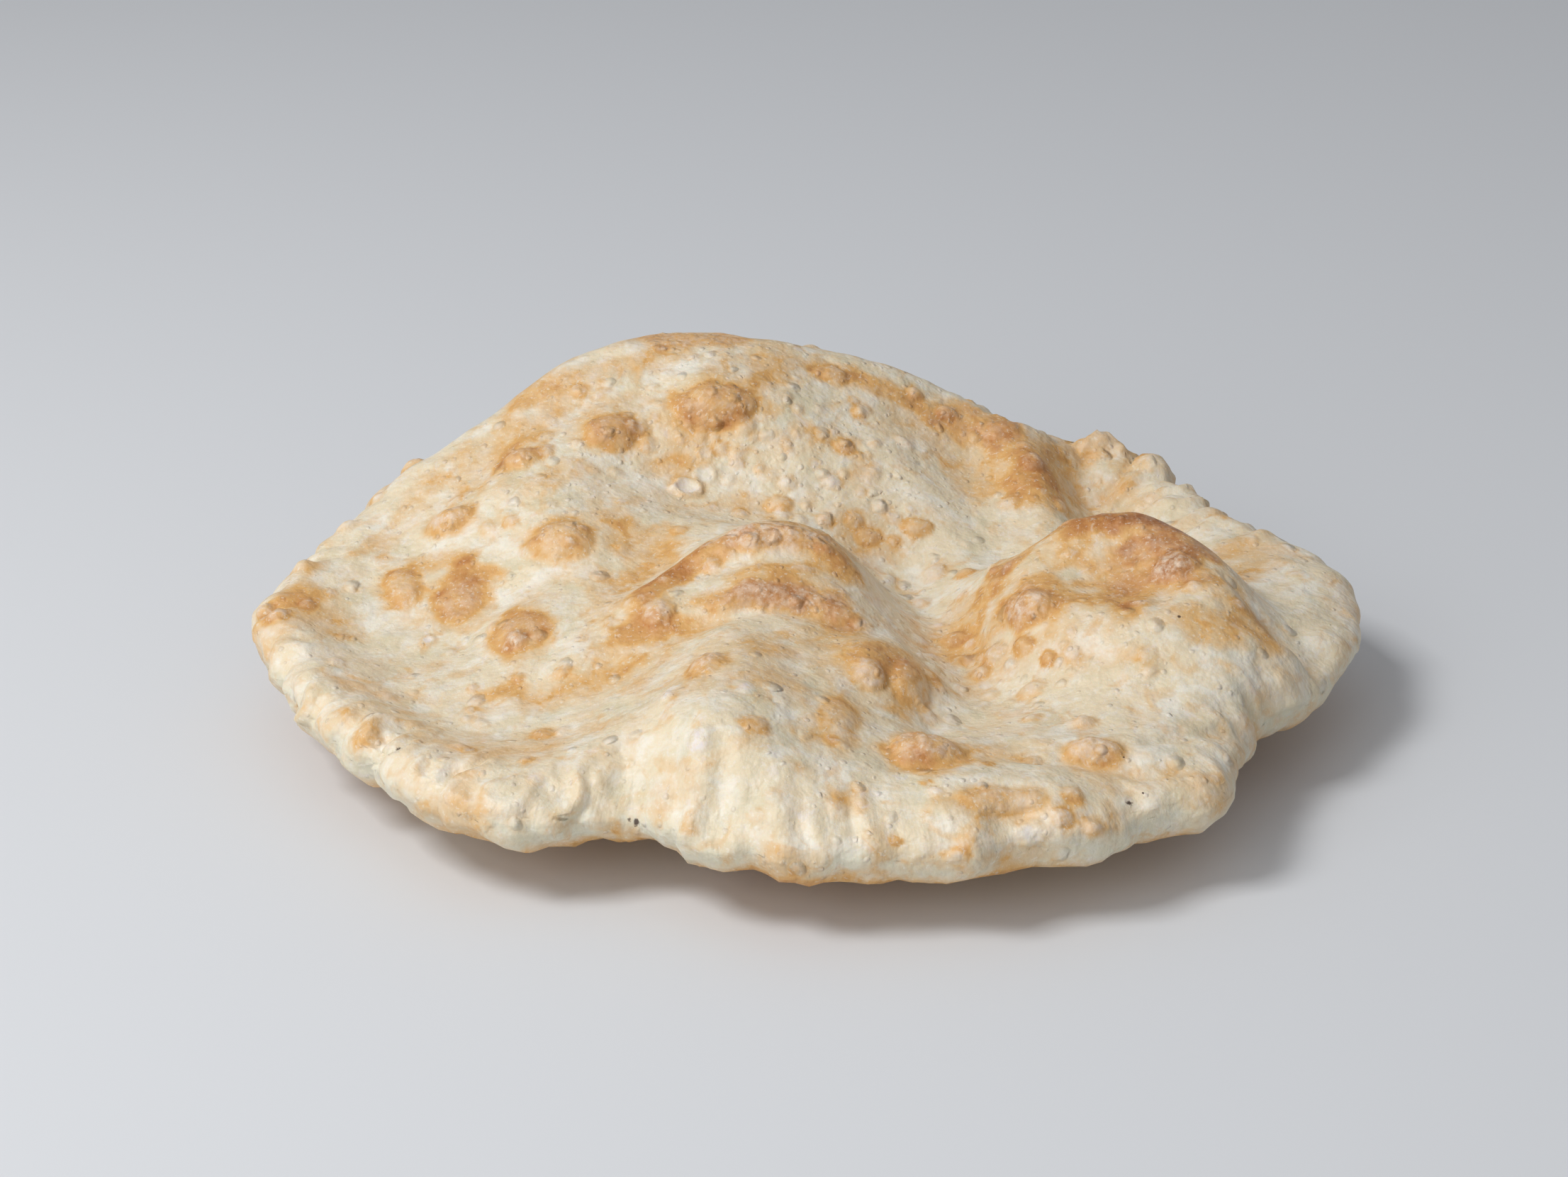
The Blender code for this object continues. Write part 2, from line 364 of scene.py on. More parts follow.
    @staticmethod
    def _along_rim(tree: bpy.types.NodeTree, place: Any) -> Any:
        """Coordinates that change fast along the rim and slowly inwards, which draws a pattern out.

        Args:
            tree: The material's tree.
            place: Object coordinates.

        Returns:
            The coordinates' socket.
        """
        rim_radius = 115.0 * MM
        inward_share = (0.35, 0.35, 0.35)
        level = add_node(tree, "ShaderNodeVectorMath", {0: place, 1: (1.0, 1.0, 0.0)}, operation="MULTIPLY")
        outward = add_node(tree, "ShaderNodeVectorMath", {0: level.outputs[0]}, operation="NORMALIZE")
        round_rim = add_node(
            tree, "ShaderNodeVectorMath", {0: outward.outputs[0], 1: (rim_radius,) * 3}, operation="MULTIPLY")
        inward = add_node(tree, "ShaderNodeVectorMath", {0: place, 1: inward_share}, operation="MULTIPLY")
        both = add_node(
            tree, "ShaderNodeVectorMath", {0: round_rim.outputs[0], 1: inward.outputs[0]}, operation="ADD")
        return both.outputs[0]

    def _bubbles(self, tree: bpy.types.NodeTree, place: Any, size: float, density: Any) -> Bubbles:
        """Draws round bubbles of uneven size, more of them where the skin is blistered.

        Args:
            tree: The material's tree.
            place: Object coordinates.
            size: Mean distance between bubbles in millimetres.
            density: Share of the places that have a bubble.

        Returns:
            The layer's sockets.
        """
        stray = add_node(
            tree, "ShaderNodeTexNoise", {"Vector": place, "Scale": per_size(0.9 * size), "Detail": 2.0})
        centred = add_node(
            tree, "ShaderNodeVectorMath", {0: stray.outputs["Color"], 1: (0.5,) * 3}, operation="SUBTRACT")
        shifted = add_node(
            tree, "ShaderNodeVectorMath", {0: centred.outputs[0], 1: (0.4 * size * MM,) * 3, 2: place},
            operation="MULTIPLY_ADD")
        where = {"Vector": shifted.outputs[0], "Scale": per_size(size), "Randomness": 0.85}
        cells = add_node(tree, "ShaderNodeTexVoronoi", where)
        borders = add_node(tree, "ShaderNodeTexVoronoi", where, feature="DISTANCE_TO_EDGE")
        chances = add_node(tree, "ShaderNodeSeparateColor", {0: cells.outputs["Color"]}).outputs
        radius = self._ranged(tree, chances[0], 0.0, 1.0, 0.14, 0.38)
        apart = self._math(tree, "DIVIDE", cells.outputs["Distance"], radius)
        chosen = self._math(tree, "LESS_THAN", chances[1], density)
        # A bubble fades out before its cell's border, so that no border cuts it off.
        within = self._ranged(tree, borders.outputs["Distance"], 0.0, 0.14, 0.0, 1.0, smooth=True)
        there = self._math(tree, "MULTIPLY", chosen, within)
        squared = self._math(tree, "POWER", apart, 2.0)
        cap = self._math(tree, "SUBTRACT", 1.0, squared, clamp=True)
        soft = self._math(tree, "POWER", cap, 1.4)
        sized = self._math(tree, "MULTIPLY", soft, radius)
        dome = self._math(tree, "MULTIPLY", sized, there)
        outer = self._ranged(tree, apart, 1.0, 1.5, 1.0, 0.0, smooth=True)
        inner = self._ranged(tree, apart, 0.6, 1.0, 0.0, 1.0, smooth=True)
        band = self._math(tree, "MULTIPLY", outer, inner)
        return Bubbles(dome, self._math(tree, "MULTIPLY", band, there), chances[2])

    def _browning(self, tree: bpy.types.NodeTree, place: Any, coarse: Bubbles) -> Any:
        """Sums the browning that the mesh carries with blotches, freckles and the bubbles' feet.

        Args:
            tree: The material's tree.
            place: Object coordinates.
            coarse: The larger drawn bubbles.

        Returns:
            The socket of the browning, 0 for cream and 1 for brown.
        """
        grain = self._noise(tree, place, self.ragged_edge_size, 5.0, 0.65, 0.6)
        uneven = self._ranged(tree, grain, 0.30, 0.70, 0.70, 1.28)
        ragged = self._math(tree, "MULTIPLY", self._carried(tree, "browning"), uneven)
        blotched = self._noise(tree, place, self.blotch_size, 4.0, 0.6)
        stained = self._noise(tree, place, self.stain_size, 3.0, 0.55, 0.8)
        freckled = self._noise(tree, place, self.freckle_size, 2.0, 0.5)
        blotches = self._ranged(tree, blotched, 0.44, 0.70, 0.0, 0.42, smooth=True)
        stains = self._ranged(tree, stained, 0.50, 0.72, 0.0, 0.26, smooth=True)
        freckles = self._ranged(tree, freckled, 0.58, 0.76, 0.0, 0.12, smooth=True)
        feet = self._math(tree, "MULTIPLY", coarse.foot, 0.10)
        total = ragged
        for part in (blotches, stains, freckles, feet):
            total = self._math(tree, "ADD", total, part)
        return total

    def _colour(
        self, tree: bpy.types.NodeTree, place: Any, along_rim: Any, browning: Any, coarse: Bubbles,
        fine: Bubbles,
    ) -> Any:
        """Paints cream, milky white, gold and brown, the dry skin of the blisters with its painted highlight,
        the paler lip with its painted cool light, and the charred specks.

        Args:
            tree: The material's tree.
            place: Object coordinates.
            along_rim: Coordinates drawn out inwards from the rim.
            browning: The browning's socket.
            coarse: The larger drawn bubbles.
            fine: The smaller drawn bubbles.

        Returns:
            The colour's socket.
        """
        rim = self._carried(tree, "rim")
        milky_noise = self._noise(tree, place, self.milky_size, 7.0, 0.68, 0.5)
        thin_noise = self._noise(tree, place, self.thin_size, 6.0, 0.65, 0.4)
        peachy_noise = self._noise(tree, place, self.peach_size, 4.0, 0.6)
        streaky_noise = self._noise(tree, along_rim, self.streak_size, 4.0, 0.6, 0.3)
        milky = self._ranged(tree, milky_noise, 0.46, 0.60, 0.0, 0.85)
        thin = self._ranged(tree, thin_noise, 0.50, 0.66, 0.0, 0.55)
        peachy = self._ranged(tree, peachy_noise, 0.50, 0.72, 0.0, 0.45)
        streaky = self._ranged(tree, streaky_noise, 0.48, 0.68, 0.0, 0.34)
        milky_streaks = self._math(tree, "MULTIPLY", streaky, rim)
        colour: Any = linear(self.cream)
        colour = self._mixed(tree, milky, colour, linear(self.milky_white))
        colour = self._mixed(tree, thin, colour, linear(self.thin_skin))
        colour = self._mixed(tree, peachy, colour, linear(self.peach))
        # The lip's sides are painted paler and cooler: partly less-fried crust, partly painted cool light
        # from the front.
        lip = self._math(tree, "MULTIPLY", self._carried(tree, "lip"), 0.70)
        colour = self._mixed(tree, lip, colour, linear(self.lip_skin_and_cool_light))
        colour = self._mixed(tree, milky_streaks, colour, linear(self.milky_white))
        stages = ((0.06, 0.60, self.golden), (0.55, 1.10, self.brown), (1.05, 1.60, self.dark_brown))
        for low, high, code in stages:
            reached = self._ranged(tree, browning, low, high, 0.0, 1.0)
            colour = self._mixed(tree, reached, colour, linear(code))
        # This dry-skin tone is partly dry skin and partly a painted highlight; it goes on the tops of
        # blisters and drawn bubbles.
        skin_and_highlight_tone = self._mixed(
            tree, self._ranged(tree, browning, 0.05, 0.50, 0.0, 1.0), linear(self.dry_skin_and_highlight),
            linear(self.dry_brown_skin_and_highlight))
        drawn = self._ranged(tree, coarse.dome, 0.02, 0.34, 0.0, 0.45)
        drawn_caps = self._math(tree, "MULTIPLY", drawn, coarse.chance)
        small_caps = self._ranged(tree, fine.dome, 0.02, 0.34, 0.0, 0.35)
        flakes = self._noise(tree, place, self.dry_flake_size, 5.0, 0.68)
        carried = self._math(
            tree, "MULTIPLY", self._carried(tree, "dry_skin_and_highlight"),
            self._ranged(tree, flakes, 0.42, 0.60, 0.15, 1.15))
        for share in (small_caps, drawn_caps, carried):
            colour = self._mixed(tree, share, colour, skin_and_highlight_tone)
        # Bubbles of about 0.3 mm under the skin catch the light as white grains; they are drawn at 0.9 mm.
        grain_noise = self._noise(tree, place, self.grain_size, 2.0, 0.5)
        grains = self._ranged(tree, grain_noise, 0.60, 0.70, 0.0, 0.40)
        colour = self._mixed(tree, grains, colour, linear(self.milky_white))
        fleck_noise = self._noise(tree, place, self.fleck_size, 6.0, 0.72, 1.0)
        flecks = self._ranged(tree, fleck_noise, 0.58, 0.66, 0.0, 0.50)
        colour = self._mixed(tree, flecks, colour, skin_and_highlight_tone)
        return self._mixed(tree, self._charred(tree, place), colour, linear(self.char))

    def _charred(self, tree: bpy.types.NodeTree, place: Any) -> Any:
        """Marks the few charred specks, each at its own place.

        Args:
            tree: The material's tree.
            place: Object coordinates.

        Returns:
            The socket that is 1 on a speck.
        """
        wobble = self._ranged(tree, self._noise(tree, place, self.speck_edge_size, 1.0), 0.3, 0.7, 0.6, 1.4)
        total: Any = 0.0
        for x, y, z, radius in self.specks:
            apart = add_node(
                tree, "ShaderNodeVectorMath", {0: place, 1: (x * MM, y * MM, z * MM)}, operation="DISTANCE")
            scaled = self._math(tree, "MULTIPLY", apart.outputs["Value"], wobble)
            near = self._ranged(tree, scaled, 0.5 * radius * MM, radius * MM, 0.9, 0.0)
            total = self._math(tree, "MAXIMUM", near, total)
        return total

    def _roughness(self, tree: bpy.types.NodeTree, place: Any) -> Any:
        """Varies the gloss between oily and floury places."""
        uneven = self._noise(tree, place, self.gloss_size)
        return self._ranged(tree, uneven, 0.3, 0.7, self.roughness - 0.10, self.roughness + 0.12)

    def _relief(
        self, tree: bpy.types.NodeTree, place: Any, along_rim: Any, coarse: Bubbles, fine: Bubbles
    ) -> Any:
        """Adds the bubbling and wrinkling that is too small for the mesh, as heights in millimetres.

        Args:
            tree: The material's tree.
            place: Object coordinates.
            along_rim: Coordinates drawn out inwards from the rim.
            coarse: The larger drawn bubbles.
            fine: The smaller drawn bubbles.

        Returns:
            The normal's socket.
        """
        crumple = self._math(tree, "ADD", self._carried(tree, "crumple"), 0.05)
        ridges = add_node(
            tree, "ShaderNodeTexNoise",
            {"Vector": place, "Scale": per_size(self.wrinkle_size), "Detail": 3.0, "Roughness": 0.5,
             "Distortion": 0.5},
            noise_type="RIDGED_MULTIFRACTAL", normalize=True)
        wrinkled = self._math(tree, "MULTIPLY", ridges.outputs["Fac"], crumple)
        ripples = self._noise(tree, along_rim, self.rim_ripple_size, 2.0, 0.5)
        rim_ripples = self._math(tree, "MULTIPLY", ripples, self._carried(tree, "rim"))
        heights = (
            (coarse.dome, 2.8),
            (fine.dome, 0.85),
            (self._noise(tree, place, self.lump_size, 2.0, 0.5, 0.2), 0.9),
            (self._noise(tree, place, self.pore_size, 3.0, 0.6), 0.16),
            (wrinkled, 0.8),
            (rim_ripples, 0.35),
        )
        total: Any = 0.0
        for socket, millimetres in heights:
            total = self._math(tree, "ADD", total, self._math(tree, "MULTIPLY", socket, millimetres))
        bumped = add_node(tree, "ShaderNodeBump", {"Height": total, "Strength": 1.0, "Distance": MM})
        return bumped.outputs[0]


# The tables below name a kind by this short form.
K = BlisterKind

# place, half-width, half-depth and kind, then turn and lift where they aren't 0 and 1
BLISTERS: tuple[Blister, ...] = tuple(Blister(*row) for row in (
    # ridge of the back dome and the slopes beside it
    (-21, 49, 10.0, 6.0, K.BROWN, 0, 0.8), (-14, 46, 3.4, 2.6, K.PLAIN),
    (-46, 43, 6.8, 5.2, K.BROWN, 20, 0.9), (-40, 45, 3.0, 2.6, K.PALE), (-68, 36, 5.3, 4.0, K.BROWN),
    (-62, 38, 2.6, 2.6, K.BROWN), (-84, 23, 6.1, 4.4, K.CRUMPLED), (-75, 17, 1.9, 2.1, K.PLAIN),
    (-69, 16, 2.2, 2.0, K.BROWN), (-57, 6, 7.6, 6.4, K.BROWN, 0, 0.8), (-61, 7, 1.3, 1.3, K.PALE),
    (-52, 9, 1.5, 1.4, K.PALE), (-54, 4, 1.4, 1.3, K.PALE), (-28, 33, 4.4, 3.4, K.RING, 10),
    (-20, 42, 2.3, 1.9, K.BROWN), (-16, 39, 2.0, 1.7, K.BROWN), (-18, 36, 2.0, 1.7, K.PLAIN),
    (-4, 35, 2.3, 2.0, K.PALE), (-6, 30, 3.6, 2.8, K.ORANGE), (-11, 38, 1.3, 1.2, K.PLAIN),
    (-25, 44, 2.1, 1.7, K.PLAIN), (-1, 26, 2.0, 2.0, K.PLAIN), (-15, 26, 2.0, 2.0, K.PALE),
    (-29, 11, 2.0, 2.0, K.BROWN), (-1, 53, 1.6, 1.6, K.PALE), (-45, 33, 2.0, 2.0, K.PLAIN),
    (8, 69, 4.6, 3.4, K.BROWN), (28, 50, 0.9, 0.9, K.PIT), (10, 47, 2.9, 2.6, K.BROWN),
    (27, 30, 3.8, 3.0, K.ORANGE), (22, 32, 2.0, 1.6, K.PALE), (22, 27, 1.7, 1.4, K.PALE),
    (15, 27, 3.4, 2.6, K.BROWN), (12, 30, 2.6, 2.2, K.PALE), (5, 28, 2.3, 1.9, K.PALE),
    (7, 37, 2.6, 2.2, K.PALE), (31, 17, 3.3, 3.2, K.BROWN), (38, 11, 2.8, 2.8, K.ORANGE),
    (43, -4, 2.2, 2.6, K.BROWN), (27, 5, 2.6, 2.8, K.BROWN), (24, -5, 2.0, 2.2, K.PLAIN),
    (57, 53, 3.4, 4.0, K.BROWN), (49, 67, 5.2, 3.6, K.PLAIN, 0, 0.6), (63, 42, 2.6, 3.2, K.BROWN),
    (55, 60, 2.2, 2.2, K.PLAIN), (36, 70, 3.0, 2.6, K.BROWN, 0, 1.7), (28, 72, 2.6, 2.2, K.BROWN, 0, 1.5),
    # puffed flange behind the right dome
    (76, 77, 7.0, 6.0, K.PUFF, 0, 1.5), (88, 69, 6.0, 5.0, K.PUFF, 0, 1.4),
    (97, 60, 4.0, 3.4, K.PUFF, 0, 1.0), (105, 50, 3.4, 3.0, K.PUFF, 0, 1.0),
    # crests of the hump
    (-4, -12, 3.0, 2.2, K.CRUMPLED), (-12, -13, 3.8, 2.4, K.CRUMPLED), (4, -13, 2.4, 1.8, K.PLAIN),
    (-21, -16, 2.3, 2.0, K.PALE), (-10, -21, 1.5, 1.4, K.PALE), (-39, -12, 1.2, 1.2, K.PALE),
    (-1, -20, 2.7, 2.2, K.PALE), (-31, -19, 1.5, 1.4, K.PALE), (-36, -24, 1.3, 1.2, K.PALE),
    (-40, -25, 1.2, 1.1, K.PALE), (-33, -29, 4.1, 4.2, K.CRUMPLED), (7, -24, 1.8, 1.6, K.PALE),
    (12, -34, 2.2, 3.2, K.CRUMPLED, 20, 0.7),
    # front dome
    (-21, -60, 4.4, 6.0, K.CRUMPLED, 0, 1.2), (-30, -69, 2.4, 3.6, K.WHITE), (-13, -74, 2.2, 3.2, K.WHITE),
    (-23, -90, 3.4, 3.6, K.WHITE), (-11, -86, 3.2, 2.6, K.BROWN), (-7, -76, 1.2, 1.1, K.PIT),
    (13, -57, 4.0, 4.6, K.CRUMPLED), (22.5, -52, 5.8, 7.4, K.PLAIN, 0, 0.9),
    (6, -76, 4.6, 9.0, K.PLAIN, -8, 0.4), (5, -84, 1.3, 1.3, K.PALE), (9, -80, 1.2, 1.2, K.PALE),
    (20.5, -82, 4.2, 7.4, K.CRUMPLED, 15, 0.7), (26.5, -82, 5.4, 7.0, K.PALE, -10, 0.9),
    (23.5, -82, 6.5, 7.0, K.PUFF, 0, 0.6),
    # valley between the domes
    (33, -19, 3.8, 3.2, K.ORANGE, 0, 1.2), (48, -36, 2.9, 2.6, K.ORANGE, 0, 1.2),
    (42, -33, 3.3, 2.8, K.CRUMPLED, 0, 1.2), (34, -28, 2.4, 2.2, K.ORANGE, 0, 1.2),
    (39, -35, 2.3, 2.3, K.BROWN, 0, 1.2), (53, -43, 2.2, 2.1, K.ORANGE, 0, 1.2), (26, -54, 1.5, 1.5, K.BROWN),
    (26, -59, 2.6, 2.4, K.BROWN), (29, -48, 1.6, 1.8, K.BROWN), (40, -44, 2.1, 2.2, K.BROWN),
    (49, -49, 3.6, 2.6, K.BROWN), (48, -62, 2.1, 2.0, K.BROWN), (58, -68, 2.8, 2.6, K.BROWN),
    (37, -87, 1.2, 1.2, K.ORANGE), (23, -96, 1.2, 1.2, K.ORANGE), (30, -10, 1.8, 1.8, K.PALE),
    (36, -2, 1.7, 1.6, K.PALE), (25, -34, 1.8, 2.0, K.PALE),
    # right dome
    (49, -28, 6.7, 5.6, K.CRUMPLED, -20), (82, -23, 5.4, 4.6, K.CRUMPLED), (73, -36, 2.6, 1.4, K.PALE),
    (73, -51, 2.4, 2.0, K.PLAIN), (74, -54, 2.0, 1.7, K.PLAIN), (85, -31, 2.6, 2.0, K.PALE),
    (78, -12, 1.3, 1.2, K.PALE), (60, -12, 2.4, 1.6, K.PALE), (95, -34, 2.0, 1.8, K.PALE),
    # front apron and rolled rim
    (59, -81, 6.5, 3.6, K.CRUMPLED, -5), (38, -100, 9.8, 3.2, K.BROWN, 0, 0.7),
    (44, -105, 3.0, 3.0, K.LENS, 0, 1.5), (30, -110, 1.6, 1.6, K.LENS), (29, -111, 1.5, 1.4, K.LENS),
    (51, -103, 2.5, 2.0, K.PALE), (57, -103, 2.2, 1.8, K.PALE), (53, -98, 2.2, 2.0, K.BROWN),
    (10, -100, 1.3, 3.4, K.PALE), (-8, -101, 2.2, 1.8, K.PLAIN), (-11, -103, 1.9, 1.7, K.PLAIN),
    (17, -108, 1.2, 1.1, K.ORANGE), (28, -113, 2.6, 2.2, K.PLAIN),
    # left slope, trough and rim
    (-94, 5, 4.6, 6.4, K.BROWN, 20, 0.6), (-80, -2, 6.4, 7.4, K.BROWN, -15, 0.15),
    (-65, -24, 6.7, 7.2, K.BROWN, 0, 0.25), (-65, -27, 2.8, 2.8, K.CRUMPLED), (-86, -15, 1.9, 2.0, K.RING),
    (-81, -21, 1.6, 1.8, K.PLAIN), (-115, -3, 2.1, 2.4, K.BROWN), (-74, -40, 1.4, 1.5, K.BROWN),
    (-74, -47, 1.3, 1.4, K.BROWN), (-48, -37, 1.5, 1.5, K.RING), (-54, -40, 2.2, 1.9, K.BROWN),
    (-64, -39, 1.5, 1.4, K.BROWN), (-57, -62, 2.6, 2.8, K.BROWN), (-59, -79, 1.6, 1.8, K.BROWN),
    (-72, -72, 1.5, 1.6, K.RING), (-91, -64, 1.0, 1.2, K.PIT), (-121, -9, 2.8, 2.6, K.CRUMPLED, 0, 1.4),
    (-125, -4, 2.6, 2.4, K.CRUMPLED, 0, 1.5), (-118, 14, 3.0, 2.6, K.PLAIN, 0, 1.5),
    (-104, 44, 2.6, 2.4, K.PALE, 0, 1.4), (-96, 56, 3.8, 3.4, K.PALE, 0, 2.1),
    (-88, 64, 2.6, 2.4, K.PLAIN, 0, 1.5), (-110, 32, 3.2, 2.6, K.PLAIN, 0, 1.5),
))

# place, half-width, half-depth, turn and strength, then the dry share (dry skin and painted highlight) where
# it isn't 0
BROWN_PATCHES: tuple[BrownPatch, ...] = tuple(BrownPatch(*row) for row in (
    # back dome
    (-21, 50, 12, 8, 0, 0.22), (-46, 43, 9, 7, 0, 0.18), (-30, 39, 5, 3, 0, 0.22), (-55, 31, 6, 4, 30, 0.30),
    (-58, 60, 14, 6, 25, 0.32, 0.25), (-40, 66, 10, 4, 18, 0.26), (-27, 76, 16, 6, 8, 0.62, 0.45),
    (21, 70, 13, 3.5, -12, 0.50, 0.1), (8, 70, 8, 4, 0, 0.28), (44, 68, 13, 7, -25, 0.56, 0.25),
    (52, 56, 14, 13, -30, 0.46), (59, 47, 8, 11, 0, 0.50), (10, 47, 4, 3, 0, 0.20), (-70, 36, 8, 4, 20, 0.20),
    # hollow and hump
    (-39, 7, 10, 9, -20, 0.40), (-32, -19, 12, 4.6, 48, 0.72), (-21, -13, 9, 4, 28, 0.55),
    (-8, -11, 13, 4.5, -2, 0.34, 1.0), (7, -15, 8, 6, -35, 0.50), (-35, -3, 9, 5, 42, 0.52),
    (34, -16, 8, 12, 0, 0.46), (-6, -29, 17, 4.0, 0, 0.62, 0.50), (-18, -28, 10, 3.8, 2, 0.50),
    (5, -32, 7, 5, -40, 0.50, 0.25), (-24, -33, 9, 3, 8, 0.45), (-37, -33, 7, 5, 10, 0.55),
    (-38, -42, 4, 3.5, 0, 0.40), (-38, -53, 4, 4, 20, 0.32), (-44, -20, 6, 10, -30, 0.28),
    # front dome
    (-6, -52, 7, 4, 0, 0.30), (-21, -61, 5, 4, 0, 0.12), (19, -51, 10, 11, 0, 0.22), (25, -44, 5, 8, 0, 0.30),
    (19, -62, 4, 4, 0, 0.30), (6, -76, 5.5, 10.5, -8, 0.25), (24, -83, 9, 11, 0, 0.44),
    (44, -79, 8, 6, 0, 0.15), (-11, -87, 4, 3, 0, 0.25),
    # right dome
    (51, -25, 11, 10, -20, 0.42), (50, -5, 11, 3.5, 30, 0.42, 0.1), (72, -4, 17, 5.5, 0, 0.90),
    (58, -10, 9, 6, 30, 0.20), (84, -12, 13, 8, -25, 0.70, 0.2), (75, -19, 13, 8, 0, 0.62, 0.3),
    (83, -25, 7, 6, 0, 0.34, 0.3), (70, -29, 7, 9, 0, 0.48), (69, -39, 4, 5, 0, 0.25),
    (78, -32, 3, 7, 0, 0.22), (89, -43, 8, 6, 0, 0.40), (99, -38, 9, 6, -25, 0.42),
    (74, -16, 16, 10, -10, 0.22), (57, -8, 7, 3.5, 30, -0.05), (47, 0, 9, 3, 50, 0.35),
    (43, -10, 5, 8, 0, 0.28), (99, -30, 8, 2.5, -45, 0.30), (102, 40, 4, 3, 0, 0.35), (82, 68, 4, 3, 0, 0.22),
    # front apron
    (59, -82, 8, 4, 0, 0.22), (38, -101, 12, 3.6, 0, 0.26), (53, -99, 3, 2, 0, 0.22),
    (-24, -97, 7, 3, -10, 0.12), (-23, -86, 7, 9, 0, -0.32), (-14, -98, 12, 6, 0, -0.20),
    # left side
    (-95, 4, 6, 9, 15, 0.36), (-79, -1, 8, 11, -10, 0.74), (-87, 11, 10, 4, 0, 0.42),
    (-65, -23, 8.5, 9.5, 0, 0.44), (-76, -32, 4, 2, 0, 0.25), (-85, -49, 5, 2, 10, 0.25),
    (-69, -43, 6, 3, 10, 0.32), (-57, -62, 4, 4, 0, 0.25), (-57, 7, 9, 7, 0, 0.18), (-84, 22, 8, 4, 0, 0.28),
    (-102, 22, 9, 4, 40, 0.28), (-116, 2, 5, 7, 10, 0.30), (-100, -40, 7, 4, -30, 0.24),
    (-95, -62, 2.6, 3, 0, 0.22), (-50, -47, 9, 4, 25, 0.28), (-92, 40, 9, 4, 45, 0.24),
    # The patch at (-74, 46) is partly browning and partly painted shade on the back-left slope.
    (-74, 46, 16, 9, 30, 0.28), (-122, -20, 4, 7, 10, 0.22), (-107, 9, 9, 8, 0, -0.25),
))

# place, half-length, turn, width and depth, then the arc where the line isn't straight
CREASES: tuple[Crease, ...] = tuple(Crease(*row) for row in (
    (-8, -32, 22, 0, 1.7, 1.2, -0.008), (-9, -17, 16, 0, 1.4, 0.6, -0.008),
    (-9, -28, 21, 0, 1.6, -1.5, -0.008), (-10, -10, 19, 0, 1.8, -1.2, -0.010), (-31, -16, 16, 47, 1.6, -0.7),
    (60, -86, 20, -6, 1.5, 1.2, 0.004), (82, -72, 16, 28, 1.5, 1.2), (97, -51, 17, 38, 3.5, -1.8),
    (90, -60, 15, 34, 2.2, 1.3), (103, -31, 13, -38, 1.6, 1.2), (-41, -88, 11, 68, 1.6, 1.2),
    (-18, -99, 8, 82, 1.5, 1.0), (-91, -67, 9, 48, 1.4, 1.3), (-76, -84, 7, 58, 1.3, 0.8),
    (-108, -48, 7, 28, 1.3, 0.9), (27, -66, 20, 96, 1.8, 0.7, 0.004), (36, -30, 16, 78, 1.8, 0.6),
    (70, -34, 10, 84, 1.3, 0.5), (78, -33, 8, 80, 1.3, 0.5), (8, -104, 7, 95, 1.2, 0.8),
))

# middle, half-width, spacing, height and share where they begin
PLEATS: tuple[Pleats, ...] = tuple(Pleats(*row) for row in (
    (36, 16, 4.6, 1.0, 0.66), (40, 14, 2.1, 0.45, 0.60), (275, 50, 5.2, 0.16, 0.86),
    (215, 26, 3.6, 0.70, 0.80), (195, 20, 5.5, 0.60, 0.84), (235, 22, 5.0, 0.60, 0.80),
    (330, 26, 4.0, 0.40, 0.84), (120, 60, 4.8, 0.35, 0.86),
))

# place, radius and density
BLISTERED_AREAS: tuple[BlisteredArea, ...] = tuple(BlisteredArea(*row) for row in (
    (8, 28, 34, 1.0), (-18, 44, 30, 0.8), (42, -34, 26, 1.0), (-70, 26, 32, 0.55), (-70, -38, 28, 0.4),
    (-10, -20, 26, 0.4), (30, -80, 26, 0.35), (75, -25, 26, 0.3), (35, 68, 30, 0.5),
))


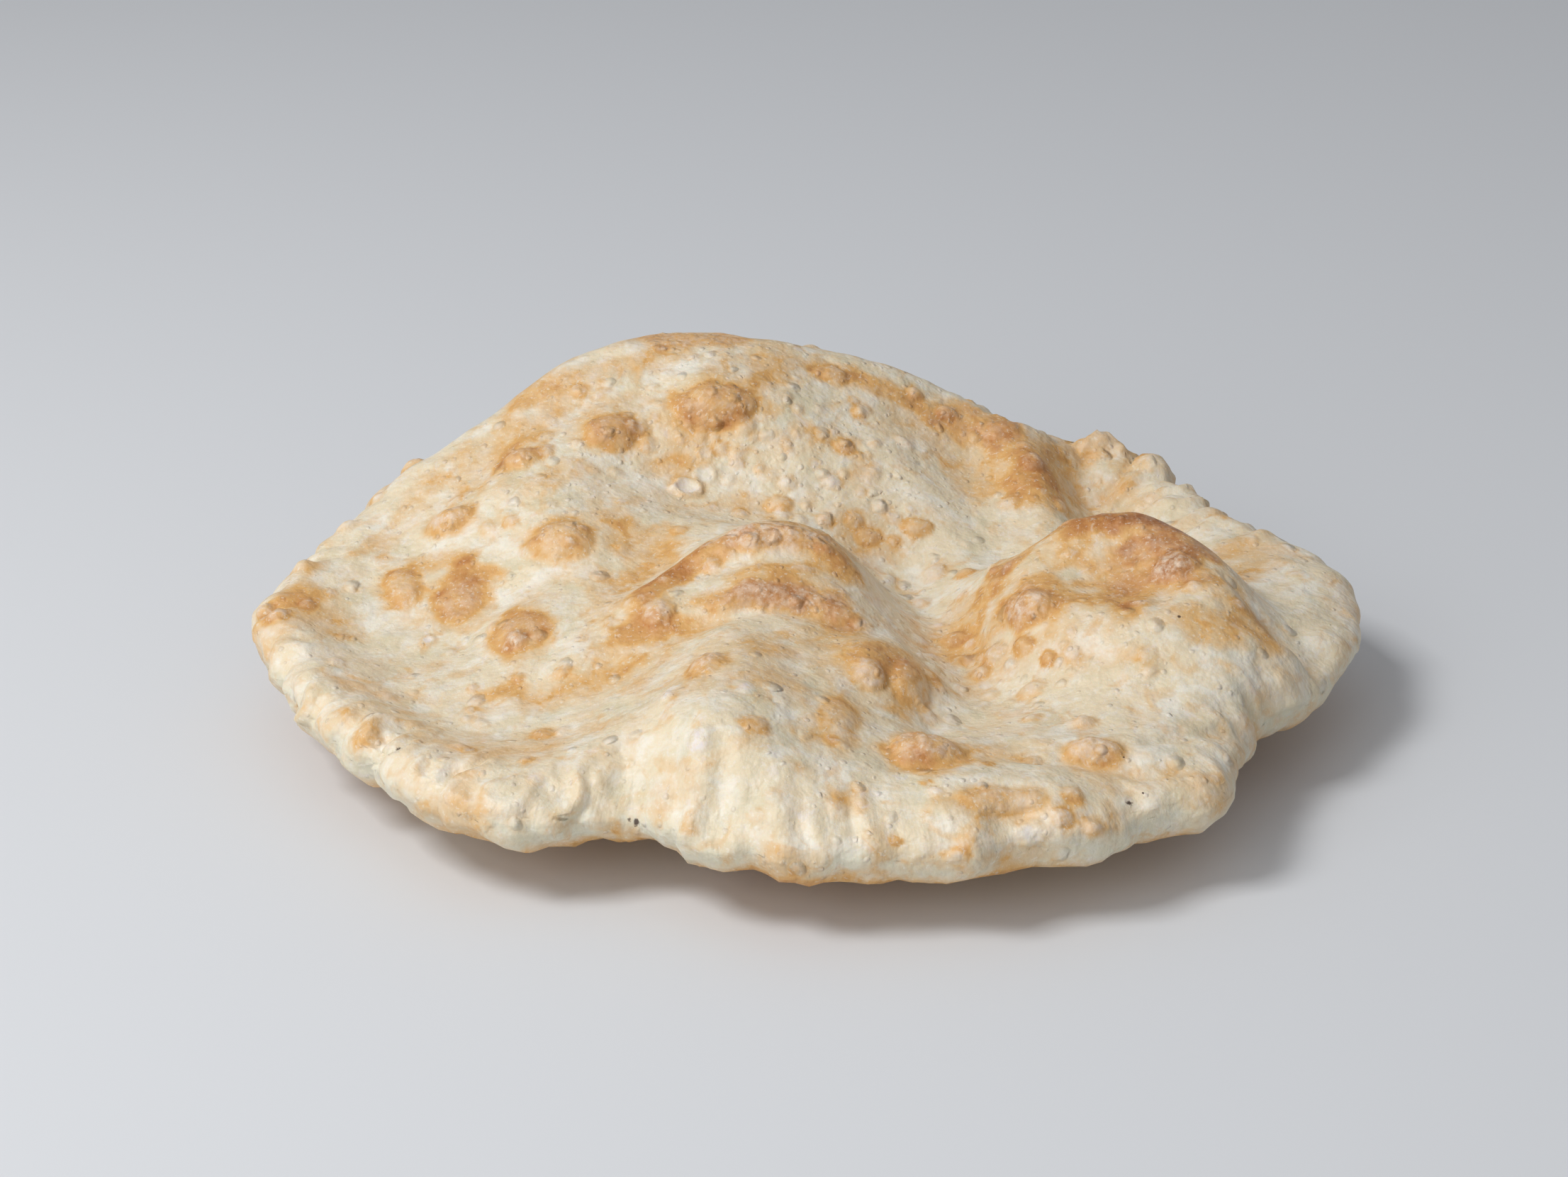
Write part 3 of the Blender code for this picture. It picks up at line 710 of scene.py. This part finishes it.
@dataclass
class Skin:
    """The bread's skin as arrays, in millimetres: its vertices, and what is raised and painted on them.

    RESOLVED is the finest detail that the mesh carries. Widths of a blister's bands are shares of its
    half-size.
    """

    RESOLVED: ClassVar[float] = 0.5
    RAGGED: ClassVar[float] = 0.24
    RING_WIDTH: ClassVar[float] = 0.20
    FOOT_GROOVE: ClassVar[float] = 0.07
    FOOT_WIDTH: ClassVar[float] = 0.16
    HALO_WIDTH: ClassVar[float] = 0.22
    WRINKLE_SHARE: ClassVar[float] = 0.34
    WRINKLE_SIZE: ClassVar[float] = 1.9
    DRY_RELIEF: ClassVar[float] = 0.45
    DRY_RELIEF_SIZE: ClassVar[float] = 2.3
    PATCH_GRAIN: ClassVar[float] = 5.0

    points: np.ndarray
    normals: np.ndarray
    edges: np.ndarray
    lift: np.ndarray = field(init=False)
    browning: np.ndarray = field(init=False)
    dry_skin_and_highlight: np.ndarray = field(init=False)
    crumple: np.ndarray = field(init=False)
    share: np.ndarray = field(init=False)

    def __post_init__(self) -> None:
        """Starts with bare skin and finds each vertex's share of the way from the middle to the rim."""
        count = len(self.points)
        self.lift, self.browning, self.dry_skin_and_highlight, self.crumple = (np.zeros(count) for _ in range(4))
        slots = 360
        angles = self.angles().astype(int) % slots
        radii = np.hypot(self.points[:, 0], self.points[:, 1])
        reach = np.zeros(slots)
        np.maximum.at(reach, angles, radii)
        self.share = radii / reach[angles]

    def angles(self) -> np.ndarray:
        """Angle of each vertex round the middle of the plan, in degrees from 0 to 360."""
        return np.degrees(np.arctan2(self.points[:, 1], self.points[:, 0])) % 360.0

    def anchor(self, x: float, y: float) -> int:
        """Finds the vertex of the top that lies at a place in the plan.

        Args:
            x: Place along the length.
            y: Place along the depth.

        Returns:
            The vertex's number.
        """
        apart = (self.points[:, 0] - x) ** 2 + (self.points[:, 1] - y) ** 2
        return int(np.argmin(np.where(self.normals[:, 2] > 0.05, apart, np.inf)))

    def local(self, anchor: int, turn: float, reach: float) -> tuple[np.ndarray, np.ndarray, np.ndarray]:
        """Coordinates in the skin's tangent plane round an anchor.

        Args:
            anchor: The vertex in the middle.
            turn: Degrees by which the first axis turns from the bread's length.
            reach: How far from the anchor to look.

        Returns:
            The numbers of the vertices within reach, and their places along both axes.
        """
        middle, upward = self.points[anchor], self.normals[anchor]
        near = np.flatnonzero(((self.points - middle) ** 2).sum(axis=1) < reach * reach)
        near = near[(self.normals[near] @ upward) > -0.2]
        offset = self.points[near] - middle
        first = np.array([math.cos(math.radians(turn)), math.sin(math.radians(turn)), 0.0])
        first -= upward * (first @ upward)
        first /= np.linalg.norm(first)
        return near, offset @ first, offset @ np.cross(upward, first)

    def raise_blister(self, blister: Blister) -> None:
        """Raises a named blister, with its browned flanks and pale top."""
        anchor = self.anchor(blister.x, blister.y)
        size = max(blister.half_width, blister.half_depth)
        near, along, across = self.local(anchor, blister.turn, 1.7 * size)
        ragged = 1.0 + self.RAGGED * noise_at(self.points[near], 0.55 * size)
        distance = np.hypot(along / blister.half_width, across / blister.half_depth) * ragged
        self.raise_cap(near, distance, blister.kind, blister.size, blister.lift, 1.0)

    def raise_cap(
        self, near: np.ndarray, distance: np.ndarray, kind: BlisterKind, size: float, lift: float,
        paint: float,
    ) -> None:
        """Adds one blister's relief and colour to the vertices near it.

        Args:
            near: Numbers of the vertices near it.
            distance: Their distance from its middle, 1 at its foot.
            kind: The sort of blister.
            size: Its mean half-size.
            lift: How high it is for its kind.
            paint: How much of its kind's colour it has.
        """
        softness = smooth_step(np.array((4.0 - size) / 3.0))
        cap = np.clip(1.0 - (distance / (1.0 + 0.2 * softness)) ** 2, 0.0, 1.0) ** (1.0 + softness)
        ring = bell(distance, 0.72, self.RING_WIDTH)
        shape = (1.0 - kind.ring) * cap + kind.ring * ring
        height = kind.height * lift * size
        if kind.wrinkles > 0.2:
            wrinkled = self.WRINKLE_SHARE * kind.wrinkles * noise_at(self.points[near], self.WRINKLE_SIZE)
            shape = shape + wrinkled * np.sqrt(cap)
        blur = self.RESOLVED / size
        foot = bell(distance, 1.06, math.hypot(self.FOOT_WIDTH, blur))
        self.lift[near] += height * shape - self.FOOT_GROOVE * abs(height) * foot
        inside = smooth_step((1.2 - distance) / 0.3)
        flank = 0.60 + 0.40 * bell(distance, 0.90, 0.30)
        self.brown(near, paint * kind.browning * inside * flank)
        self.brown(near, paint * kind.halo * bell(distance, 1.02, math.hypot(self.HALO_WIDTH, blur)))
        self.dry_skin_and_highlight[near] *= 1.0 - 0.7 * bell(distance, 1.05, 0.2)
        # The cap's pale dry-skin tone is partly dry skin and partly a painted highlight on the blister's top.
        dry = paint * kind.dry_skin_and_highlight * smooth_step((0.92 - distance) / 0.35)
        self.dry_skin_and_highlight[near] = np.maximum(self.dry_skin_and_highlight[near], dry)
        self.crumple[near] = np.maximum(self.crumple[near], kind.wrinkles * inside)

    def brown(self, near: np.ndarray, amount: np.ndarray) -> None:
        """Browns vertices; where they are brown already, less is added."""
        self.browning[near] += amount * (1.0 - 0.6 * np.clip(self.browning[near], 0.0, 1.0))

    def brown_patch(self, patch: BrownPatch) -> None:
        """Browns the skin in a soft, ragged patch."""
        anchor = self.anchor(patch.x, patch.y)
        size = max(patch.half_width, patch.half_depth)
        near, along, across = self.local(anchor, patch.turn, 1.8 * size)
        ragged = noise_at(self.points[near], self.PATCH_GRAIN)
        distance = np.hypot(along / patch.half_width, across / patch.half_depth) * (1.0 + 0.45 * ragged)
        spread = smooth_step((1.3 - distance) / 0.7)
        self.brown(near, patch.strength * spread)
        # The dry share paints dry skin and, in part, a painted highlight.
        self.dry_skin_and_highlight[near] = np.maximum(self.dry_skin_and_highlight[near], patch.dry * spread)
        self.crumple[near] = np.maximum(self.crumple[near], min(1.0, 1.6 * patch.dry) * spread)
        if patch.dry > 0.2:
            relief = noise_at(self.points[near], self.DRY_RELIEF_SIZE)
            self.lift[near] += self.DRY_RELIEF * patch.dry * relief * spread

    def fold(self, crease: Crease, wander: np.ndarray) -> None:
        """Presses a crease into the top, or raises a ridge.

        Args:
            crease: The fold line.
            wander: How far the line strays at each vertex.
        """
        turn = math.radians(crease.turn)
        dx, dy = self.points[:, 0] - crease.x, self.points[:, 1] - crease.y
        along = dx * math.cos(turn) + dy * math.sin(turn)
        across = dy * math.cos(turn) - dx * math.sin(turn) - crease.arc * along ** 2 + wander
        ends = np.exp(-((along / crease.half_length) ** 4))
        top = smooth_step((self.normals[:, 2] + 0.1) / 0.3)
        self.lift -= crease.depth * ends * np.exp(-0.5 * (across / crease.width) ** 2) * top

    def pleat(self, pleats: Pleats, wander: np.ndarray) -> None:
        """Raises radial pleats along a stretch of the rim.

        Args:
            pleats: The stretch and its pleats.
            wander: How far, in degrees, the pleats stray at each vertex.
        """
        apart = (self.angles() - pleats.middle + 180.0) % 360.0 - 180.0
        stretch = np.exp(-0.5 * (apart / pleats.half_width) ** 2)
        grown = smooth_step((self.share - pleats.begins_at) / (1.0 - pleats.begins_at))
        wave = np.sin(math.tau * (apart + wander) / pleats.spacing)
        self.lift += pleats.height * wave * stretch * grown

    def spread(self, values: np.ndarray, rounds: int) -> np.ndarray:
        """Averages values with those of the neighbours, several times.

        Args:
            values: One row for each vertex.
            rounds: How many times.

        Returns:
            The averaged rows.
        """
        first, second = self.edges[:, 0], self.edges[:, 1]
        count = len(self.points)
        neighbours = np.bincount(first, minlength=count) + np.bincount(second, minlength=count)
        smooth = values.copy()
        for _ in range(rounds):
            for column in range(values.shape[1]):
                held = smooth[:, column]
                total = np.bincount(first, held[second], count) + np.bincount(second, held[first], count)
                smooth[:, column] = total / neighbours
        return smooth

    def prominence(self, rounds: int) -> np.ndarray:
        """How far each vertex stands out from the skin round it, in millimetres."""
        moved = self.points + self.normals * self.lift[:, None]
        return ((moved - self.spread(moved, rounds)) * self.normals).sum(axis=1)


@dataclass
class Bhatura:
    """The whole bread: its solid's form made fine, with blisters, creases and puckers in the skin.

    Lengths are in millimetres. Prominence is measured over rounds of averaging: few for blisters, many for
    crests.
    """

    node: str = "bhatura"
    slot: str = "fried_dough"
    fine_faces: int = 9400
    seed: int = 29
    small_blisters: int = 260
    smallest_blister: float = 1.4
    largest_blister: float = 3.4
    small_ones_prevail: float = 2.6
    pucker_sizes: tuple[tuple[float, float], ...] = ((15.0, 0.80), (7.0, 0.36), (3.0, 0.10))
    pucker_shift: float = 3.7
    rim_lump_size: float = 8.0
    rim_lump_shift: float = 9.1
    rim_lump_height: float = 1.1
    underside_patches: int = 46
    underside_gold: float = 0.42
    patch_sizes: tuple[float, float] = (4.0, 13.0)
    blister_rounds: int = 30
    crest_rounds: int = 260
    wander_size: float = 9.0
    crease_wander: float = 1.6
    pleat_wander: float = 3.0
    bare_density: float = 0.16
    crowding_refused: float = 0.75
    finish: FriedDough = FriedDough()

    def build(self) -> bpy.types.Object:
        """Makes the bread and dresses it.

        Returns:
            The finished piece.
        """
        piece = self._copied_solid()
        self._refined(piece)
        self._sculpted(piece)
        piece.data.materials.clear()
        piece.data.materials.append(self.finish.material())
        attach(piece, "root")
        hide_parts(self.node)
        return piece

    def _copied_solid(self) -> bpy.types.Object:
        """Copies the solid's mesh and merges its loose triangles to quads."""
        bpy.ops.object.select_all(action="DESELECT")
        solid = bpy.data.objects[self.node]
        piece = bpy.data.objects.new("bhatura_crust", solid.data.copy())
        piece.data.name = "bhatura_crust"
        bpy.context.scene.collection.objects.link(piece)
        bpy.context.view_layer.objects.active = piece
        piece.select_set(True)
        bpy.ops.object.mode_set(mode="EDIT")
        bpy.ops.mesh.select_all(action="SELECT")
        bpy.ops.mesh.remove_doubles(threshold=0.005 * MM)
        bpy.ops.mesh.normals_make_consistent(inside=False)
        bpy.ops.mesh.tris_convert_to_quads(face_threshold=math.pi, shape_threshold=math.pi)
        bpy.ops.object.mode_set(mode="OBJECT")
        for layer in list(piece.data.attributes):
            if layer.name.startswith(("custom_normal", "UVMap")):
                piece.data.attributes.remove(layer)
        return piece

    @staticmethod
    def _rounded(piece: bpy.types.Object, levels: int) -> None:
        """Rounds the facets by subdivision."""
        bpy.ops.object.select_all(action="DESELECT")
        bpy.context.view_layer.objects.active = piece
        piece.select_set(True)
        rounding = piece.modifiers.new("rounding", "SUBSURF")
        rounding.levels = levels
        rounding.render_levels = levels
        bpy.ops.object.modifier_apply(modifier=rounding.name)

    def _refined(self, piece: bpy.types.Object) -> None:
        """Rounds the bread and gives its top and lip a finer mesh than its underside.

        Args:
            piece: The copied solid.
        """
        guide = bpy.data.objects.new("rounded_guide", piece.data.copy())
        bpy.context.scene.collection.objects.link(guide)
        self._rounded(guide, 3)
        self._rounded(piece, 1)
        mesh = piece.data
        facing, areas = np.empty(len(mesh.polygons) * 3), np.empty(len(mesh.polygons))
        mesh.polygons.foreach_get("normal", facing)
        mesh.polygons.foreach_get("area", areas)
        upwards = facing.reshape(-1, 3)[:, 2]
        needed = areas * smooth_step((upwards + 0.45) / 0.5)
        chosen = np.zeros(len(mesh.polygons), bool)
        chosen[np.argsort(-needed)[: self.fine_faces]] = True
        bpy.ops.object.mode_set(mode="EDIT")
        bpy.ops.mesh.select_mode(type="FACE")
        bpy.ops.mesh.select_all(action="DESELECT")
        bpy.ops.object.mode_set(mode="OBJECT")
        mesh.polygons.foreach_set("select", chosen)
        bpy.ops.object.mode_set(mode="EDIT")
        bpy.ops.mesh.subdivide(number_cuts=2)
        bpy.ops.object.mode_set(mode="OBJECT")
        wrap = piece.modifiers.new("onto_the_rounded_form", "SHRINKWRAP")
        wrap.target = guide
        wrap.wrap_method = "NEAREST_SURFACEPOINT"
        bpy.ops.object.modifier_apply(modifier=wrap.name)
        bpy.data.objects.remove(guide, do_unlink=True)
        bpy.ops.object.shade_smooth()

    def _sculpted(self, piece: bpy.types.Object) -> None:
        """Moves the vertices for each blister, crease and pucker, and stores browning, dry skin with its
        painted highlight, and the lip's painted cool light on them.

        Args:
            piece: The refined bread.
        """
        mesh = piece.data
        count = len(mesh.vertices)
        points, normals = np.empty(count * 3), np.empty(count * 3)
        mesh.vertices.foreach_get("co", points)
        mesh.vertex_normals.foreach_get("vector", normals)
        edges = np.empty(len(mesh.edges) * 2, int)
        mesh.edges.foreach_get("vertices", edges)
        skin = Skin(points.reshape(-1, 3) / MM, normals.reshape(-1, 3), edges.reshape(-1, 2))
        low, high = skin.points.min(axis=0), skin.points.max(axis=0)
        self._named_features(skin)
        blistered = self._scattered_blisters(skin)
        self._underside(skin)
        self._puckers(skin)
        self._browned_where_prominent(skin)
        moved = skin.points + skin.normals * skin.lift[:, None]
        moved = np.clip(moved, low, high)
        mesh.vertices.foreach_set("co", (moved * MM).ravel())
        upwards = skin.normals[:, 2]
        carried = {
            # The dry-skin share is partly dry skin and partly a painted highlight on the blister tops.
            "browning": np.clip(skin.browning, -0.5, 1.6), "dry_skin_and_highlight": np.clip(skin.dry_skin_and_highlight, 0.0, 1.0),
            "crumple": np.clip(skin.crumple, 0.0, 1.0), "blistered": blistered,
            "rim": smooth_step((skin.share - 0.88) / 0.10),
            # The lip share marks side-facing skin for that paler, cooler tone, which is partly painted cool
            # light.
            "lip": smooth_step((0.55 - upwards) / 0.6) * smooth_step((0.75 + upwards) / 0.3),
        }
        for name, values in carried.items():
            layer = mesh.attributes.new(name, "FLOAT", "POINT")
            layer.data.foreach_set("value", values.astype(np.float32))
        mesh.update()

    def _named_features(self, skin: Skin) -> None:
        """Gives the skin its patches, blisters, creases and pleats."""
        for patch in BROWN_PATCHES:
            skin.brown_patch(patch)
        for blister in BLISTERS:
            skin.raise_blister(blister)
        wander = noise_at(skin.points, self.wander_size)
        for crease in CREASES:
            skin.fold(crease, self.crease_wander * wander)
        for pleats in PLEATS:
            skin.pleat(pleats, self.pleat_wander * wander)

    def _scattered_blisters(self, skin: Skin) -> np.ndarray:
        """Scatters seeded small blisters, most of them in the blistered areas.

        Args:
            skin: The bread's skin.

        Returns:
            How blistered each vertex's surroundings are.
        """
        chance = np.random.default_rng(self.seed)
        density = np.full(len(skin.points), self.bare_density)
        for area in BLISTERED_AREAS:
            apart = np.hypot(skin.points[:, 0] - area.x, skin.points[:, 1] - area.y)
            near_area = smooth_step((1.3 * area.radius - apart) / (0.8 * area.radius))
            density = np.maximum(density, area.density * near_area)
        density *= np.where(skin.normals[:, 2] > -0.2, 1.0, 0.4)
        kinds = (BlisterKind.PALE, BlisterKind.PLAIN, BlisterKind.BROWN, BlisterKind.LENS, BlisterKind.RING)
        taken = skin.lift != 0
        size_range = self.largest_blister - self.smallest_blister
        placed = 0
        for anchor in chance.permutation(len(skin.points)):
            if placed == self.small_blisters:
                break
            bare = chance.random() > density[anchor]
            if bare or (taken[anchor] and chance.random() < self.crowding_refused):
                continue
            size = self.smallest_blister + size_range * chance.random() ** self.small_ones_prevail
            kind = kinds[chance.choice(5, p=(0.30, 0.36, 0.16, 0.10, 0.08))]
            near, along, across = skin.local(int(anchor), 180 * chance.random(), 1.7 * size)
            uneven = 1.0 + 0.12 * noise_at(skin.points[near], 1.5 * size)
            distance = np.hypot(along / size, across / (size * (0.60 + 0.40 * chance.random()))) * uneven
            lift, paint = 0.4 + 0.6 * chance.random(), 0.3 + 0.6 * chance.random()
            skin.raise_cap(near, distance, kind, size, lift, paint)
            taken[near] = True
            placed += 1
        return 0.18 + 0.70 * density

    def _underside(self, skin: Skin) -> None:
        """Gives the underside its deeper gold and its own seeded brown patches."""
        chance = np.random.default_rng(self.seed + 1)
        skin.browning += self.underside_gold * smooth_step((-0.50 - skin.normals[:, 2]) / 0.4)
        smallest, largest = self.patch_sizes
        downward = np.flatnonzero(skin.normals[:, 2] < -0.3)
        for anchor in chance.choice(downward, self.underside_patches):
            size = smallest + (largest - smallest) * chance.random()
            near, along, across = skin.local(int(anchor), 180 * chance.random(), 1.8 * size)
            ragged = 1.0 + 0.4 * noise_at(skin.points[near], 5.0)
            distance = np.hypot(along / size, across / (0.7 * size)) * ragged
            skin.brown(near, (0.25 + 0.35 * chance.random()) * smooth_step((1.3 - distance) / 0.9))

    def _puckers(self, skin: Skin) -> None:
        """Adds the skin's small puckers, left out where the bread rests."""
        total = np.zeros(len(skin.points))
        for size, amount in self.pucker_sizes:
            total += amount * noise_at(skin.points, size, self.pucker_shift)
        lumps = noise_at(skin.points, self.rim_lump_size, self.rim_lump_shift)
        total += self.rim_lump_height * lumps * smooth_step((skin.share - 0.88) / 0.1)
        resting = smooth_step((-0.9 - skin.normals[:, 2]) / 0.1)
        skin.lift += total * (1.0 - resting)

    def _browned_where_prominent(self, skin: Skin) -> None:
        """Browns what stands out, because hot oil reaches it first, and keeps the hollows pale."""
        everywhere = np.arange(len(skin.points))
        within = smooth_step((0.80 - skin.share) / 0.2)
        standing_out = skin.prominence(self.blister_rounds)
        skin.brown(everywhere, 0.08 * smooth_step(standing_out / 0.7))
        crests = skin.prominence(self.crest_rounds)
        skin.brown(everywhere, 0.16 * within * smooth_step(crests / 2.6))
        skin.browning *= 1.0 - 0.35 * smooth_step(-crests / 2.0)


@dataclass(frozen=True)
class Studio:
    """A plain pale floor, soft lights and the camera, in metres and degrees.

    Each lamp has its place, its side and its watts.
    """

    eye: tuple[float, float, float] = (-0.00496, -0.64350, 0.32180)
    elevation: float = 24.40
    roll: float = -0.71
    lens_mm: float = 70.0
    floor_half_size: float = 3.0
    floor_colour: str = "#dfe1e4"
    sky_colour: str = "#eef0f4"
    sky_strength: float = 0.38
    key: tuple[tuple[float, float, float], float, float] = ((-0.74, -0.38, 1.14), 0.45, 10.2)
    fill: tuple[tuple[float, float, float], float, float] = ((-1.0, -1.15, 0.6), 1.2, 7.3)

    def build(self) -> None:
        """Sets up the floor, the sky, the lights and the camera."""
        self._floor()
        self._sky()
        self._lamp("key_light", *self.key)
        self._lamp("fill_light", *self.fill)
        self._camera()

    def _floor(self) -> None:
        """Lays the pale floor."""
        bpy.ops.object.select_all(action="DESELECT")
        bpy.ops.mesh.primitive_plane_add(size=2 * self.floor_half_size, location=(0, 0, 0))
        floor = bpy.context.active_object
        floor.name = "studio_floor"
        paint = bpy.data.materials.new("matt_floor_paint")
        paint.use_nodes = True
        shader = paint.node_tree.nodes["Principled BSDF"]
        shader.inputs["Base Color"].default_value = linear(self.floor_colour)
        shader.inputs["Roughness"].default_value = 0.8
        floor.data.materials.append(paint)

    def _sky(self) -> None:
        """Gives an even, slightly cool sky."""
        world = bpy.data.worlds.new("studio_sky")
        bpy.context.scene.world = world
        world.use_nodes = True
        background = world.node_tree.nodes["Background"]
        background.inputs["Color"].default_value = linear(self.sky_colour)
        background.inputs["Strength"].default_value = self.sky_strength
        bpy.context.scene.view_settings.view_transform = "Standard"

    @staticmethod
    def _lamp(name: str, place: tuple[float, float, float], size: float, power: float) -> None:
        """Hangs one soft square lamp that faces the bread.

        Args:
            name: The lamp's name.
            place: Where it hangs.
            size: Its side.
            power: Its watts.
        """
        light = bpy.data.lights.new(name, "AREA")
        light.size = size
        light.energy = power
        lamp = bpy.data.objects.new(name, light)
        lamp.location = place
        lamp.rotation_euler = Vector(place).to_track_quat("Z", "Y").to_euler()
        bpy.context.scene.collection.objects.link(lamp)

    def _camera(self) -> None:
        """Places the camera at the picture's viewing angle."""
        tilt, roll = math.radians(self.elevation), math.radians(self.roll)
        backward = Vector((0.0, -math.cos(tilt), math.sin(tilt)))
        level = Vector((1.0, 0.0, 0.0))
        upright = backward.cross(level)
        right = math.cos(roll) * level + math.sin(roll) * upright
        upward = -math.sin(roll) * level + math.cos(roll) * upright
        data = bpy.data.cameras.new("camera")
        data.lens = self.lens_mm
        data.sensor_width = 36.0
        data.sensor_fit = "HORIZONTAL"
        data.clip_end = 20.0
        camera = bpy.data.objects.new("camera", data)
        facing = Matrix((right, upward, backward)).transposed().to_4x4()
        camera.matrix_world = Matrix.Translation(self.eye) @ facing
        bpy.context.scene.collection.objects.link(camera)
        bpy.context.scene.camera = camera


def main() -> None:
    """Builds the studio and the bread."""
    logging.basicConfig(level=logging.INFO, format="%(name)s: %(message)s")
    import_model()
    Studio().build()
    piece = Bhatura().build()
    LOG.info("%s has %d faces", piece.name, len(piece.data.polygons))


if __name__ == "__main__":
    main()
